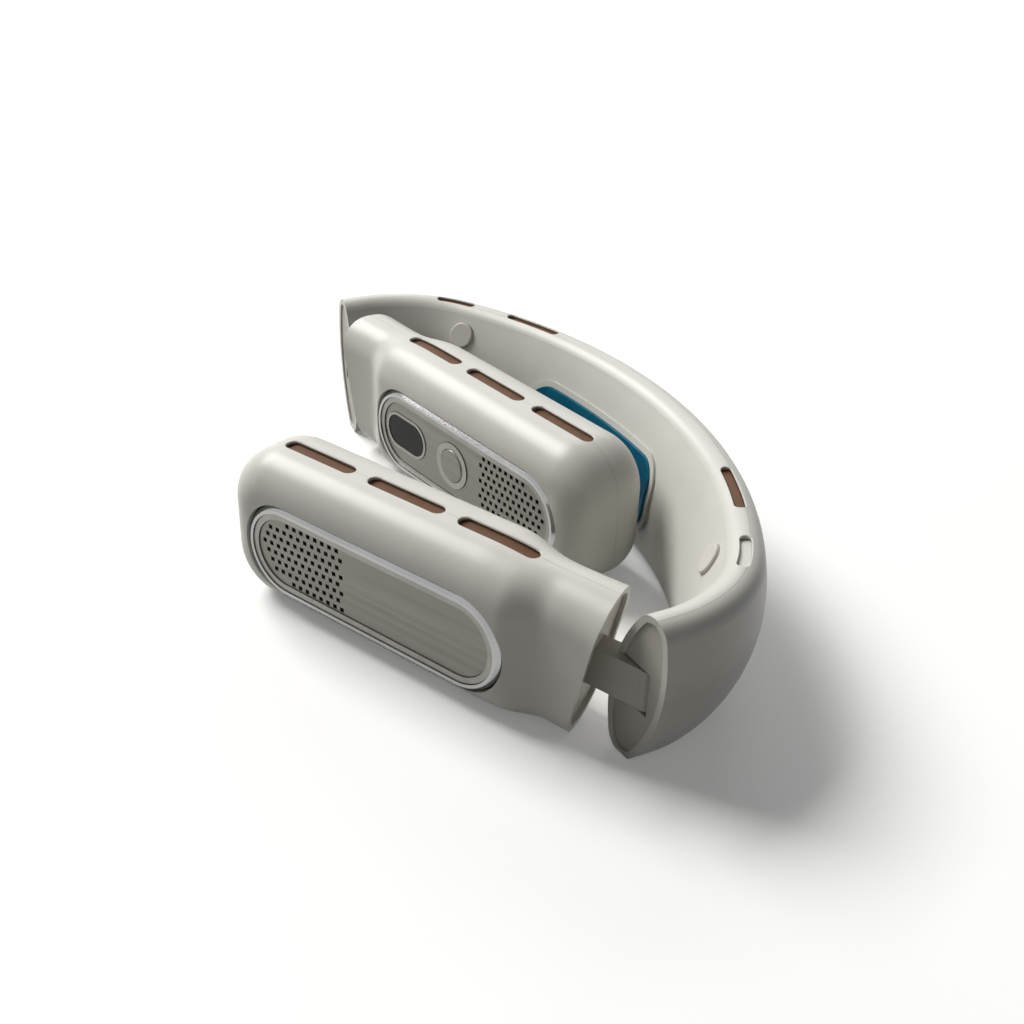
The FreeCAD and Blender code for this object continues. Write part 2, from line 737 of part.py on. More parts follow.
def hinge_tongue():
    y = tongue_thickness / 2
    z = tongue_height / 2
    flange_x = root_plate_inset + root_plate
    barrel = rod(barrel_radius, V(0, 0, mid_z - z), up, tongue_height)
    neck = box(0, root_start + flange_x + flange_thickness, -y, y, mid_z - z, mid_z + z)
    flange = root_slab(flange_x, flange_x + flange_thickness)
    flange = flange.common(box(0, arm_length, -flange_width / 2, flange_width / 2,
                               mid_z - flange_height / 2, mid_z + flange_height / 2))
    bore = rod(pin_radius + run_gap, V(0, 0, mid_z - z - cut_over), up, tongue_height + 2 * cut_over)
    return fused([barrel, neck, flange]).cut(bore)


def stadium_ring(length, tall, width, y0, y1):
    hole = stadium(length - 2 * width, tall - 2 * width, y0 - cut_over, y1 + cut_over, panel_place, panel_z)
    return stadium(length, tall, y0, y1, panel_place, panel_z).cut(hole)


def chrome_ring():
    ring = stadium_ring(ring_length, ring_height, ring_width, seat_face, arm_half)
    rim = [edge for edge in ring.Edges if edge.BoundBox.YMin > arm_half - run_gap]
    outer = [edge for edge in rim if edge_outside(edge)]
    return ring.makeChamfer(ring_bevel, outer)


def edge_outside(edge):
    # true for the ring's outer outline: its box reaches the ring's own length or height
    far_x = max(abs(edge.BoundBox.XMin - panel_place), abs(edge.BoundBox.XMax - panel_place))
    far_z = max(abs(edge.BoundBox.ZMin - panel_z), abs(edge.BoundBox.ZMax - panel_z))
    long_half = ring_length / 2 - ring_width / 2
    tall_half = ring_height / 2 - ring_width / 2
    return far_x > long_half or far_z > tall_half


def satin_ring():
    inset = ring_width + fit_gap
    return stadium_ring(ring_length - 2 * inset, ring_height - 2 * inset, satin_width, seat_face, arm_half - satin_drop)


def grille_holes():
    # staggered rows of small square holes inside a stadium-shaped field
    holes = []
    rows = int(grille_height / grille_pitch)
    columns = int(grille_length / grille_pitch)
    half_length, half_height = panel_halves(hole_side)
    tip_x = panel_place + half_length - half_height
    for row in range(rows + 1):
        z = (row - rows / 2) * grille_pitch
        for column in range(columns + 1):
            x = grille_place + (column - columns / 2 + 0.5 * (row % 2)) * grille_pitch
            if x > tip_x and math.hypot(x - tip_x, z) > half_height:
                continue
            holes.append((x, panel_z + z))
    return holes


def panel_halves(inset):
    edge = ring_width + satin_width + 2 * fit_gap + inset
    return ring_length / 2 - edge, ring_height / 2 - edge


def panel(extra_cuts):
    half_length, half_height = panel_halves(0)
    face = stadium_face(2 * half_length, 2 * half_height, seat_face, panel_place, panel_z)
    wires = [face.OuterWire]
    h = hole_side / 2
    for x, z in grille_holes():
        points = [V(x - h, seat_face, z - h), V(x + h, seat_face, z - h),
                  V(x + h, seat_face, z + h), V(x - h, seat_face, z + h), V(x - h, seat_face, z - h)]
        wires.append(Part.makePolygon(points))
    holed = Part.makeFace(wires, "Part::FaceMakerBullseye")
    plate = holed.extrude(V(0, panel_thickness, 0))
    return plate.cut(extra_cuts) if extra_cuts else plate


def panel_tray(extra_cuts):
    lip = 2 * tray_lip
    flange = stadium(opening_length + lip, opening_height + lip, tray_back, lip_face, panel_place, panel_z)
    platform = stadium(ring_length, ring_height, lip_face, seat_face, panel_place, panel_z)
    window = rounded_block(grille_length, grille_height, wall, tray_back - cut_over, seat_face + cut_over,
                           grille_place, panel_z)
    return fused([flange, platform]).cut([window] + extra_cuts)


def blower_housing():
    y0 = -blower_half_depth
    centre = V(blower_place, y0, panel_z)
    cup = rod(blower_radius, centre, out, 2 * blower_half_depth)
    hollow = rod(blower_radius - blower_wall, centre + V(0, blower_wall, 0), out, 2 * blower_half_depth)
    outlet = box(blower_place - blower_radius - cut_over, blower_place, y0 + blower_wall, blower_half_depth + cut_over,
                 panel_z + blower_radius - outlet_height, panel_z + blower_radius + cut_over)
    return cup.cut([hollow, outlet])


def motor():
    y0 = -blower_half_depth + blower_wall
    base = rod(motor_radius, V(blower_place, y0, panel_z), out, motor_height)
    shaft = rod(shaft_radius, V(blower_place, y0, panel_z), out, motor_height + impeller_gap + impeller_rise)
    return fused([base, shaft])


def impeller():
    y0 = -blower_half_depth + blower_wall + motor_height + impeller_gap
    centre = V(blower_place, y0, panel_z)
    solids = [rod(impeller_radius, centre, out, impeller_plate), rod(impeller_hub_radius, centre, out, impeller_rise)]
    eye = rod(impeller_radius, centre + V(0, impeller_rise - impeller_plate, 0), out, impeller_plate)
    hole = rod(impeller_radius - eye_ring_width, centre, out, impeller_rise + cut_over)
    solids.append(eye.cut(hole))
    half = blade_thickness / 2
    for i in range(blade_count):
        blade = box(blower_place + blade_start, blower_place + impeller_radius - half, y0, y0 + impeller_rise,
                    panel_z - half, panel_z + half)
        solids.append(blade.rotated(centre, out, i * 360.0 / blade_count))
    bore = rod(shaft_radius + run_gap, centre - V(0, cut_over, 0), out, impeller_rise + 2 * cut_over)
    return fused(solids).cut(bore)


def cell():
    cap = rod(cell_cap_radius, V(cell_start + cell_length, -cell_offset, mid_z), V(1, 0, 0), cell_cap)
    return fused([cell_rod(0), cap])


def duct_strip():
    z = height - duct_drop
    return box(duct_start, duct_end, -duct_width / 2, duct_width / 2, z, z + duct_thickness)


def display_parts():
    rim_face = seat_face + panel_thickness + display_lift
    outer_length = display_length + 2 * display_rim
    outer_height = display_height + 2 * display_rim
    rim = stadium(outer_length, outer_height, seat_face, rim_face, display_place, panel_z)
    rim = rim.cut(stadium(display_length, display_height, seat_face - cut_over, rim_face + cut_over,
                          display_place, panel_z))
    window = stadium(display_length - 2 * fit_gap, display_height - 2 * fit_gap, seat_face, seat_face + panel_thickness,
                     display_place, panel_z)
    board = box(display_board_start, display_board_end, tray_back - display_board_thickness, tray_back,
                panel_z - display_board_height / 2, panel_z + display_board_height / 2)
    return rim, window, board


def button_parts():
    start = V(button_place, seat_face + slide_gap, panel_z)
    cap = rod(button_radius, start, out, button_height)
    top = [edge for edge in cap.Edges if edge.BoundBox.YMin > start.y + button_height / 2]
    cap = cap.makeFillet(button_edge, top)
    inner = button_radius + slide_gap
    base = V(button_place, seat_face, panel_z)
    lift = panel_thickness + button_ring_lift
    ring = rod(inner + button_ring_width, base, out, lift).cut(rod(inner, base - V(0, cut_over, 0), out, lift + 2 * cut_over))
    half = switch_side / 2
    switch = box(button_place - half, button_place + half, tray_back, tray_back + switch_height,
                 panel_z - half, panel_z + half)
    return cap, ring, switch


def far_panel_cuts():
    y0 = seat_face - cut_over
    y1 = arm_half + cut_over
    grow = 2 * display_rim + 2 * fit_gap
    window = stadium(display_length + grow, display_height + grow, y0, y1, display_place, panel_z)
    ring_radius = button_radius + slide_gap + button_ring_width + fit_gap
    return [window, rod(ring_radius, V(button_place, y0, panel_z), out, y1 - y0)]


def far_tray_cuts():
    y0 = tray_back - cut_over
    y1 = seat_face + cut_over
    window = stadium(display_length - 2 * display_rim, display_height - 2 * display_rim, y0, y1, display_place, panel_z)
    return [window, rod(button_radius + slide_gap, V(button_place, y0, panel_z), out, y1 - y0)]


def place_near(shape):
    return shape.rotated(V(0, 0, 0), up, near_turn).translated(pivot)


def place_far(shape):
    flipped = shape.mirror(V(0, 0, 0), out)
    return flipped.rotated(V(0, 0, 0), up, far_turn).translated(V(-pivot.x, pivot.y, 0))


def save(name, shape):
    moved = shape.translated(V(0, shift_y, 0))
    solids = moved.Solids
    piece = solids[0] if len(solids) == 1 else Part.makeCompound(solids)
    piece.exportStep("parts/" + name + ".step")
    print(name, len(solids), round(piece.Volume, 1), piece.isValid())


def save_band():
    inner, outer = band_shells()
    save("band_inner_shell", inner)
    save("band_outer_shell", outer)
    for name, shape in (("end_plate", end_plate()), ("hinge_bracket", hinge_bracket()), ("hinge_pin", hinge_pin())):
        for side, solid in zip(("near_", "far_"), both_sides(shape)):
            save(side + name, solid)
    save("cold_plate", cold_plate())
    save("cold_plate_bezel", cold_bezel())
    names = ("thermoelectric_module", "heat_sink", "sink_fan_frame", "sink_fan_rotor")
    for name, shape in zip(names, cooling_stack()):
        save(name, shape)
    save("control_board", control_board())
    save("charging_socket", charging_socket())
    save("band_duct_strips", Part.makeCompound(band_ducts()))
    save("bumper_pads", Part.makeCompound(both_sides(bumper_pad())))
    screws = [at_turn(band_screw(0), turn) for turn in band_screw_turns]
    save("band_screws", Part.makeCompound(sum((both_sides(screw) for screw in screws), [])))


def save_arm(side, place, panel_cuts, tray_cuts):
    front, back = arm_shells()
    pieces = {
        "front_shell": front,
        "back_shell": back,
        "root_plate": root_plate_block(),
        "hinge_tongue": hinge_tongue(),
        "panel_tray": panel_tray(tray_cuts),
        "chrome_ring": chrome_ring(),
        "satin_ring": satin_ring(),
        "panel": panel(panel_cuts),
        "blower_housing": blower_housing(),
        "motor": motor(),
        "impeller": impeller(),
        "cell": cell(),
        "duct_strip": duct_strip(),
        "arm_screws": Part.makeCompound([arm_screw(x, z, 0) for x, z in arm_screw_spots()]),
    }
    for name, shape in pieces.items():
        save(side + "_" + name, place(shape))


def save_display():
    names = ("display_rim", "display_window", "display_board", "power_button", "button_ring", "button_switch")
    for name, shape in zip(names, display_parts() + button_parts()):
        save(name, place_far(shape))


save_band()
save_arm("near", place_near, [], [])
save_arm("far", place_far, far_panel_cuts(), far_tray_cuts())
save_display()
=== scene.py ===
import json
import math

import bpy
import numpy as np
from mathutils import Matrix, Vector


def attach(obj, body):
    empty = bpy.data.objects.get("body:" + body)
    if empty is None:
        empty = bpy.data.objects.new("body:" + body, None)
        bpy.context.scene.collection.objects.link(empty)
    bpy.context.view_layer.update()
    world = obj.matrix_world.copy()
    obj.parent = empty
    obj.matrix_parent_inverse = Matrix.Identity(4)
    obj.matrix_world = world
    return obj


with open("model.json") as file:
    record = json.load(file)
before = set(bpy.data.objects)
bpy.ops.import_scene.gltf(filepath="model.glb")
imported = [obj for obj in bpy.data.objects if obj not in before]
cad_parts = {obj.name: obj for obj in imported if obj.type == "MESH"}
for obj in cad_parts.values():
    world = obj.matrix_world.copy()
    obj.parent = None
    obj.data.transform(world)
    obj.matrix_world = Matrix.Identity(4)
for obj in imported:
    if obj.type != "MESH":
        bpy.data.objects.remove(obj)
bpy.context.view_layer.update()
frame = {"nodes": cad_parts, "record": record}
nodes = frame["nodes"]
joints = {joint["name"]: joint for joint in frame["record"]["behaviour"]["joints"]}
mm = 0.001
print("stage: frame loaded,", len(nodes), "nodes")


# Materials


def linearColour(hexText):
    # sRGB hex to linear RGBA
    channels = [int(hexText[i:i + 2], 16) / 255 for i in (0, 2, 4)]
    return [c / 12.92 if c <= 0.04045 else ((c + 0.055) / 1.055) ** 2.4 for c in channels] + [1.0]


def addNode(tree, kind, sockets=None, links=None, **settings):
    # adds a node with its settings, its plain values and its links
    node = tree.nodes.new(kind)
    for key, value in settings.items():
        setattr(node, key, value)
    for key, value in (sockets or {}).items():
        node.inputs[key].default_value = value
    for key, source in (links or {}).items():
        tree.links.new(source, node.inputs[key])
    return node


# most of a noise lies within span, which is spread over the whole change of colour or gloss
surfaceValues = {"span": (0.3, 0.7), "mottleDetail": 3.0, "grainDetail": 2.0, "bump": 0.5, "plasticIor": 1.48}


def makeMaterial(values):
    # slow mottle tints the colour, fine grain roughens and dents the surface
    material = bpy.data.materials.new(values["name"])
    material.use_nodes = True
    tree = material.node_tree
    tree.nodes.clear()
    place = addNode(tree, "ShaderNodeTexCoord").outputs["Object"]
    if "brush" in values:
        # turned to the arm's length, then stretched along it
        turned = addNode(tree, "ShaderNodeMapping", {"Rotation": (0, 0, -values["brush"])}, {"Vector": place})
        stretched = addNode(tree, "ShaderNodeMapping", {"Scale": (values["stretch"], 1, 1)},
                            {"Vector": turned.outputs[0]})
        place = stretched.outputs[0]
    mottle = addNode(tree, "ShaderNodeTexNoise",
                     {"Scale": 1 / (values["mottleMm"] * mm), "Detail": surfaceValues["mottleDetail"]},
                     {"Vector": place})
    grain = addNode(tree, "ShaderNodeTexNoise",
                    {"Scale": 1 / (values["grainMm"] * mm), "Detail": surfaceValues["grainDetail"]},
                    {"Vector": place})
    tint = addNode(tree, "ShaderNodeValToRGB", None, {"Fac": mottle.outputs[0]})
    stops = zip(tint.color_ramp.elements, surfaceValues["span"], ("colour", "tone"))
    for stop, share, key in stops:
        stop.position = share
        stop.color = linearColour(values[key])
    lowest, highest = surfaceValues["span"]
    smooth, rough = values["roughness"]
    gloss = addNode(tree, "ShaderNodeMapRange",
                    {"From Min": lowest, "From Max": highest, "To Min": smooth, "To Max": rough},
                    {"Value": grain.outputs[0]})
    strength = values.get("bump", surfaceValues["bump"])
    bump = addNode(tree, "ShaderNodeBump", {"Strength": strength, "Distance": values["depthMm"] * mm},
                   {"Height": grain.outputs[0]})
    if "metallic" in values:
        kind = {"Metallic": values["metallic"]}
    else:
        kind = {"IOR": values.get("ior", surfaceValues["plasticIor"])}
    shader = addNode(tree, "ShaderNodeBsdfPrincipled", kind,
                     {"Base Color": tint.outputs[0], "Roughness": gloss.outputs[0],
                      "Normal": bump.outputs[0]})
    addNode(tree, "ShaderNodeOutputMaterial", None, {"Surface": shader.outputs[0]})
    return material


# degrees from +x: the open arms point along -y, and each folds inwards by its hinge's whole range
quarterTurn = 90.0
foldRange = {side: joints[side + "_arm_hinge"]["range_deg"][1] for side in ("near", "far")}
armDegrees = {"near": 3 * quarterTurn - foldRange["near"], "far": foldRange["far"] - quarterTurn}
armAngles = {side: math.radians(angle) for side, angle in armDegrees.items()}

# a pixel of the main view covers about 0.3 mm, and mould grain, blasting and brush lines are much finer,
# so the grains below are drawn coarser than they are, from about half a pixel up

# ABS from a finely sparked mould: an even warm white with soft, wide highlights
ivoryPlastic = makeMaterial({
    "name": "satin_moulded_abs_ivory", "colour": "CBC9C2", "tone": "CFCDC6",
    "mottleMm": 9.0, "grainMm": 0.35, "depthMm": 0.012, "roughness": (0.34, 0.42)})
# the same plastic with a duller mould finish, highlights spread thin; painted greyer as painted shade on
# plates, tongues and brackets
shadedIvoryPlastic = makeMaterial({
    "name": "fine_matte_moulding_painted_shade_grey", "colour": "B4B0A8", "tone": "BAB6AE",
    "mottleMm": 6.0, "grainMm": 0.25, "depthMm": 0.015, "roughness": (0.42, 0.52)})
# plain black mouldings inside: they read as dark gaps
darkPlastic = makeMaterial({
    "name": "matte_moulding_black", "colour": "151413", "tone": "1C1A19",
    "mottleMm": 5.0, "grainMm": 0.25, "depthMm": 0.015, "roughness": (0.5, 0.62)})
# matte brown as painted shade in the slots and the duct under them: keeps its colour there, with hardly any
# sheen
slotShadeBrown = makeMaterial({
    "name": "matte_brown_painted_slot_shade", "colour": "5C3D27", "tone": "66462F",
    "mottleMm": 4.0, "grainMm": 0.3, "depthMm": 0.02, "roughness": (0.5, 0.65), "ior": 1.3})
# chrome on plastic: a bright line that mirrors floor and lamp
chromePlate = makeMaterial({
    "name": "bright_chrome_plating", "colour": "A4A4A4", "tone": "ACACAC",
    "mottleMm": 12.0, "grainMm": 0.6, "depthMm": 0.002, "roughness": (0.08, 0.13), "metallic": 1.0})
# blasted and anodised aluminium: grey metal with a blurred gleam
satinMetal = makeMaterial({
    "name": "satin_anodised_aluminium", "colour": "8C8A86", "tone": "96948F",
    "mottleMm": 5.0, "grainMm": 0.15, "depthMm": 0.006, "roughness": (0.3, 0.4), "metallic": 0.9})
# dyed anodising: deep blue that lightens where it mirrors the backdrop
blueMetal = makeMaterial({
    "name": "blue_anodised_aluminium", "colour": "07688A", "tone": "0A7494",
    "mottleMm": 7.0, "grainMm": 0.18, "depthMm": 0.008, "roughness": (0.3, 0.42), "metallic": 0.75})
# polished window over an unlit display: near black with a faint clear reflection
blackGlass = makeMaterial({
    "name": "polished_black_window", "colour": "0B0C0E", "tone": "101114",
    "mottleMm": 8.0, "grainMm": 1.2, "depthMm": 0.001, "roughness": (0.12, 0.18), "ior": 1.22})
# steel off the lathe: light grey with short bright glints
turnedSteel = makeMaterial({
    "name": "turned_steel", "colour": "A2A2A0", "tone": "AFAFAD",
    "mottleMm": 3.0, "grainMm": 0.12, "depthMm": 0.006, "roughness": (0.25, 0.36), "metallic": 1.0})
# glazed ceramic: white with a clean gloss
whiteCeramic = makeMaterial({
    "name": "glazed_ceramic", "colour": "E4E2DC", "tone": "ECEAE5",
    "mottleMm": 4.0, "grainMm": 0.4, "depthMm": 0.004, "roughness": (0.2, 0.3)})
# extruded aluminium: pale metal, duller than the turned steel
sinkMetal = makeMaterial({
    "name": "extruded_aluminium", "colour": "B8B8B6", "tone": "C4C4C2",
    "mottleMm": 3.0, "grainMm": 0.2, "depthMm": 0.01, "roughness": (0.32, 0.45), "metallic": 1.0})
# laminate under a clear green coat: dark green with a low gloss
greenBoard = makeMaterial({
    "name": "coated_laminate_green", "colour": "0F4A26", "tone": "15572E",
    "mottleMm": 2.0, "grainMm": 0.3, "depthMm": 0.01, "roughness": (0.3, 0.4)})
# film shrunk on a cell: blue with a slightly rippled gloss
cellFilm = makeMaterial({
    "name": "shrink_film_blue", "colour": "1C4A7E", "tone": "235489",
    "mottleMm": 6.0, "grainMm": 0.8, "depthMm": 0.01, "roughness": (0.2, 0.3)})
# soft silicone: the shell's colour without its highlights
softSilicone = makeMaterial({
    "name": "soft_silicone_ivory", "colour": "C6C3BA", "tone": "CAC7BF",
    "mottleMm": 5.0, "grainMm": 0.3, "depthMm": 0.012, "roughness": (0.5, 0.6)})
# aluminium brushed along the arm: grey streaks, and a gleam that spreads across them
brushedPanels = {side: makeMaterial({
    "name": "brushed_aluminium_" + side + "_panel", "colour": "787670", "tone": "83817B",
    "mottleMm": 1.6, "grainMm": 0.22, "depthMm": 0.006, "roughness": (0.3, 0.46),
    "metallic": 0.85, "brush": angle, "stretch": 0.02}) for side, angle in armAngles.items()}
# brown wire gauze behind the grilles: a rough, dull tone deep in the holes
# its weave is drawn at 0.5 mm, coarser than it is
wireGauze = makeMaterial({
    "name": "woven_brown_gauze", "colour": "B08763", "tone": "8E6A4C",
    "mottleMm": 0.5, "grainMm": 0.5, "depthMm": 0.15, "roughness": (0.5, 0.7), "bump": 1.0})

# the first of these words that a node's name holds gives its material
finishes = [
    ("screws", turnedSteel), ("hinge_pin", turnedSteel), ("hinge_bracket", shadedIvoryPlastic),
    ("end_plate", shadedIvoryPlastic), ("hinge_tongue", shadedIvoryPlastic), ("root_plate", shadedIvoryPlastic),
    ("shell", ivoryPlastic), ("bezel", ivoryPlastic), ("cold_plate", blueMetal),
    ("module", whiteCeramic), ("heat_sink", sinkMetal), ("sink_fan", darkPlastic),
    ("board", greenBoard), ("socket", turnedSteel), ("pads", softSilicone), ("tray", darkPlastic),
    ("chrome_ring", chromePlate), ("satin_ring", satinMetal), ("display_rim", satinMetal),
    ("display_window", blackGlass), ("button_ring", satinMetal), ("power_button", brushedPanels["far"]),
    ("button_switch", darkPlastic), ("near_panel", brushedPanels["near"]),
    ("far_panel", brushedPanels["far"]), ("housing", darkPlastic), ("motor", turnedSteel),
    ("impeller", darkPlastic), ("cell", cellFilm), ("duct", slotShadeBrown)]
for name, piece in nodes.items():
    material = next(finish for word, finish in finishes if word in name)
    piece.data.materials.clear()
    piece.data.materials.append(material)
print("stage: materials set")


# Slot lips, slot floors and grille gauze


def addPiece(name, points, faces, material, body):
    # quads of a closed surface, turned outwards where their volume comes out negative
    faces = np.asarray(faces)
    a, b, c, d = (points[faces[:, k]] for k in range(4))
    if (np.cross(a, b) * c).sum() + (np.cross(a, c) * d).sum() < 0:
        faces = faces[:, ::-1]
    mesh = bpy.data.meshes.new(name)
    mesh.from_pydata(points * mm, [], faces.tolist())
    mesh.polygons.foreach_set("use_smooth", np.ones(len(mesh.polygons), bool))
    mesh.materials.append(material)
    piece = bpy.data.objects.new(name, mesh)
    bpy.context.scene.collection.objects.link(piece)
    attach(piece, body)
    return piece


def closedTube(path, radius, steps):
    # path + r (side cos a + up sin a), joined end to end both ways
    run = np.roll(path, -1, 0) - np.roll(path, 1, 0)
    run /= np.linalg.norm(run, axis=1, keepdims=True)
    side = np.cross(run, [0, 0, 1])
    side /= np.linalg.norm(side, axis=1, keepdims=True)
    above = np.cross(side, run)
    angle = np.arange(steps) * 2 * np.pi / steps
    ring = np.cos(angle)[None, :, None] * side[:, None] + np.sin(angle)[None, :, None] * above[:, None]
    points = (path[:, None] + radius * ring).reshape(-1, 3)
    i, j = (grid.ravel() for grid in np.meshgrid(np.arange(len(path)), np.arange(steps), indexing="ij"))
    nextI, nextJ = (i + 1) % len(path), (j + 1) % steps
    faces = np.stack([i * steps + j, nextI * steps + j, nextI * steps + nextJ, i * steps + nextJ], 1)
    return points, faces


def closedPlate(top, thickness):
    # a grid of points, the same grid lower down, and a wall round the edge
    rows, columns = top.shape[:2]
    points = np.concatenate([top.reshape(-1, 3), (top - [0, 0, thickness]).reshape(-1, 3)])
    index = np.arange(rows * columns).reshape(rows, columns)
    upper = np.stack([index[:-1, :-1], index[1:, :-1], index[1:, 1:], index[:-1, 1:]], -1).reshape(-1, 4)
    edge = np.concatenate([index[:-1, 0], index[-1, :-1], index[:0:-1, -1], index[0, :0:-1]])
    follow = np.roll(edge, -1)
    drop = rows * columns
    wall = np.stack([edge, edge + drop, follow + drop, follow], 1)
    return points, np.concatenate([upper, upper[:, ::-1] + drop, wall])


def stadiumLine(first, last, half, count):
    # two straight runs and two half circles, as (along, across)
    turn = np.linspace(-np.pi / 2, np.pi / 2, count)
    along = np.linspace(first, last, 2 * count)[1:-1]
    headEnd = np.stack([last + half * np.cos(turn), half * np.sin(turn)], 1)
    tailEnd = np.stack([first - half * np.cos(turn), -half * np.sin(turn)], 1)
    upper = np.stack([along[::-1], np.full(len(along), half)], 1)
    lower = np.stack([along, np.full(len(along), -half)], 1)
    return np.concatenate([headEnd, upper, tailEnd, lower])


# sizes in mm, as the solids have them
armValues = {"length": 132.0, "height": 45.0, "half": 14.5, "round": 11.0, "tipRound": 15.5, "waist": 24.0,
             "backBlend": 46.0, "frontBlend": 36.0, "waistHalf": 10.2, "roundShare": 0.93, "waistDrop": 1.0}


def waistShare(along, blend):
    # 1 up to the waist, then half a cosine wave down to 0 at the blend's end
    run = np.clip((along - armValues["waist"]) / (blend - armValues["waist"]), 0, 1)
    return 0.5 * (1 + np.cos(np.pi * run))


def armTop(along, across):
    # height of the arm's top: flat middle, edges of radius r, and the tip's fall
    a = armValues
    backShare = waistShare(along, a["backBlend"])
    narrow = a["half"] - a["waistHalf"]
    back = a["half"] - narrow * backShare
    front = a["half"] - narrow * waistShare(along, a["frontBlend"])
    half, shift = (front + back) / 2, (front - back) / 2
    podShare = a["round"] / a["half"]
    r = half * (podShare + (a["roundShare"] - podShare) * backShare)
    over = np.maximum(np.abs(across - shift) - (half - r), 0)
    tip = np.maximum(along - (a["length"] - a["tipRound"]), 0)
    top = a["height"] - a["waistDrop"] * backShare
    return top - (r - np.sqrt(r**2 - over**2)) - (a["tipRound"] - np.sqrt(a["tipRound"]**2 - tip**2))


def armPlace(side, along, across, height):
    # hinge place + along the arm + across it, where across points out of the panel
    turn = armAngles[side]
    pivotX, pivotY = (value / mm for value in joints[side + "_arm_hinge"]["pos_m"][:2])
    flip = 1 if side == "near" else -1
    return np.stack([pivotX + along * np.cos(turn) - flip * across * np.sin(turn),
                     pivotY + along * np.sin(turn) + flip * across * np.cos(turn), height], -1)


# a rounded bead along each slot's edge, sunk a little into the shell
armLips = {"runs": ((33.2, 58.6), (63.3, 89.2), (94.3, 119.6)), "width": 4.8, "outset": 0.12, "sink": 0.47,
           "radius": 0.45, "count": 14, "steps": 12}
for side in armAngles:
    for number, (first, last) in enumerate(armLips["runs"], 1):
        half = armLips["width"] / 2
        line = stadiumLine(first + half, last - half, half + armLips["outset"], armLips["count"])
        path = armPlace(side, line[:, 0], line[:, 1], armTop(line[:, 0], line[:, 1]) - armLips["sink"])
        points, faces = closedTube(path, armLips["radius"], armLips["steps"])
        addPiece(f"{side}_slot_lip_{number}", points, faces, ivoryPlastic, side + "_arm")

# a floor set in each slot, brown as painted shade in all but one, which stays ivory where its slot is lit
slotFloors = {"gap": 0.06, "cut": 0.15, "dip": 0.3, "thickness": 1.3, "rows": 40, "columns": 9,
              "armDrop": 1.0, "bandDrop": 0.9, "pale": ("near", 1)}


def slotGrid(first, last, half):
    # rows closer at the round ends, columns scaled to the slot's width there, and a dip along the middle
    middle, reach = (first + last) / 2, (last - first) / 2
    along = middle - (reach - slotFloors["cut"]) * np.cos(np.linspace(0, np.pi, slotFloors["rows"]))
    over = np.maximum(np.abs(along - middle) - (reach - half), 0)
    width = np.sqrt(half**2 - over**2) - slotFloors["gap"]
    share = np.linspace(-1, 1, slotFloors["columns"])
    dip = slotFloors["dip"] * (1 - share**2)
    return np.broadcast_arrays(along[:, None], width[:, None] * share, dip)


# the arms' slot floors are brown painted shade
for side in armAngles:
    for number, (first, last) in enumerate(armLips["runs"], 1):
        along, across, dip = slotGrid(first, last, armLips["width"] / 2)
        top = armPlace(side, along, across, armTop(along, across) - slotFloors["armDrop"] - dip)
        points, faces = closedPlate(top, slotFloors["thickness"])
        addPiece(f"{side}_slot_floor_{number}", points, faces, slotShadeBrown, side + "_arm")

# the band's slots: turns in degrees along its crest line, which is a corner arc and then a back arc
bandLips = {"turns": ((44.0, 57.0), (63.5, 70.5)), "width": 3.4, "outset": 0.1, "sink": 0.4, "radius": 0.38,
            "count": 12, "steps": 12}
bandValues = {"height": armValues["height"], "crestRadius": 5.5, "halfSpan": 100.0, "cornerRadius": 38.6,
              "depth": 62.8, "straight": 5.3, "hingeInset": 3.4}
endPlane = joints["near_arm_hinge"]["pos_m"][1] / mm - bandValues["hingeInset"]
cornerRadius = bandValues["cornerRadius"]
cornerX = bandValues["halfSpan"] - cornerRadius
cornerY = endPlane + bandValues["straight"]
arcRise = bandValues["depth"] - bandValues["straight"]
backRadius = (cornerX**2 + arcRise**2 - cornerRadius**2) / (2 * (arcRise - cornerRadius))
backY = endPlane + bandValues["depth"] - backRadius
cornerTurn = math.pi / 2 - math.atan2(cornerX, backRadius - arcRise)
cornerRun = cornerTurn * cornerRadius


def bandPlace(turn, across, drop):
    # a point beside the crest line, on a round top whose radius is less by drop
    onCorner = turn <= cornerTurn
    radius = np.where(onCorner, cornerRadius, backRadius) + across
    x = np.where(onCorner, cornerX, 0) + radius * np.cos(turn)
    y = np.where(onCorner, cornerY, backY) + radius * np.sin(turn)
    crest = bandValues["crestRadius"]
    return np.stack([x, y, bandValues["height"] - crest + np.sqrt((crest - drop)**2 - across**2)], -1)


def crestRun(turn):
    # mm along the crest line, from the corner's start to a turn
    return turn * cornerRadius if turn <= cornerTurn else cornerRun + (turn - cornerTurn) * backRadius


def crestTurn(run):
    # the turn that lies so many mm along the crest line
    return np.where(run <= cornerRun, run / cornerRadius, cornerTurn + (run - cornerRun) / backRadius)


for number, (first, last) in enumerate(bandLips["turns"], 1):
    startRun, endRun = crestRun(math.radians(first)), crestRun(math.radians(last))
    half = bandLips["width"] / 2
    line = stadiumLine(startRun, endRun, half + bandLips["outset"], bandLips["count"])
    path = bandPlace(crestTurn(line[:, 0]), line[:, 1], 0) - [0, 0, bandLips["sink"]]
    run, across, dip = slotGrid(startRun - half, endRun + half, half)
    top = bandPlace(crestTurn(run), across, slotFloors["bandDrop"]) - dip[..., None] * [0, 0, 1]
    for side, flip in (("near", 1), ("far", -1)):
        points, faces = closedTube(path * [flip, 1, 1], bandLips["radius"], bandLips["steps"])
        addPiece(f"band_{side}_slot_lip_{number}", points, faces, ivoryPlastic, "band")
        points, faces = closedPlate(top * [flip, 1, 1], slotFloors["thickness"])
        # brown painted shade on the band's slot floors, except the one lit slot, which keeps the shell's
        # ivory
        pale = (side, number) == slotFloors["pale"]
        finish, slot = (ivoryPlastic, "ivory_shell") if pale else (slotShadeBrown, "brown_plastic")
        addPiece(f"band_{side}_slot_floor_{number}", points, faces, finish, "band")

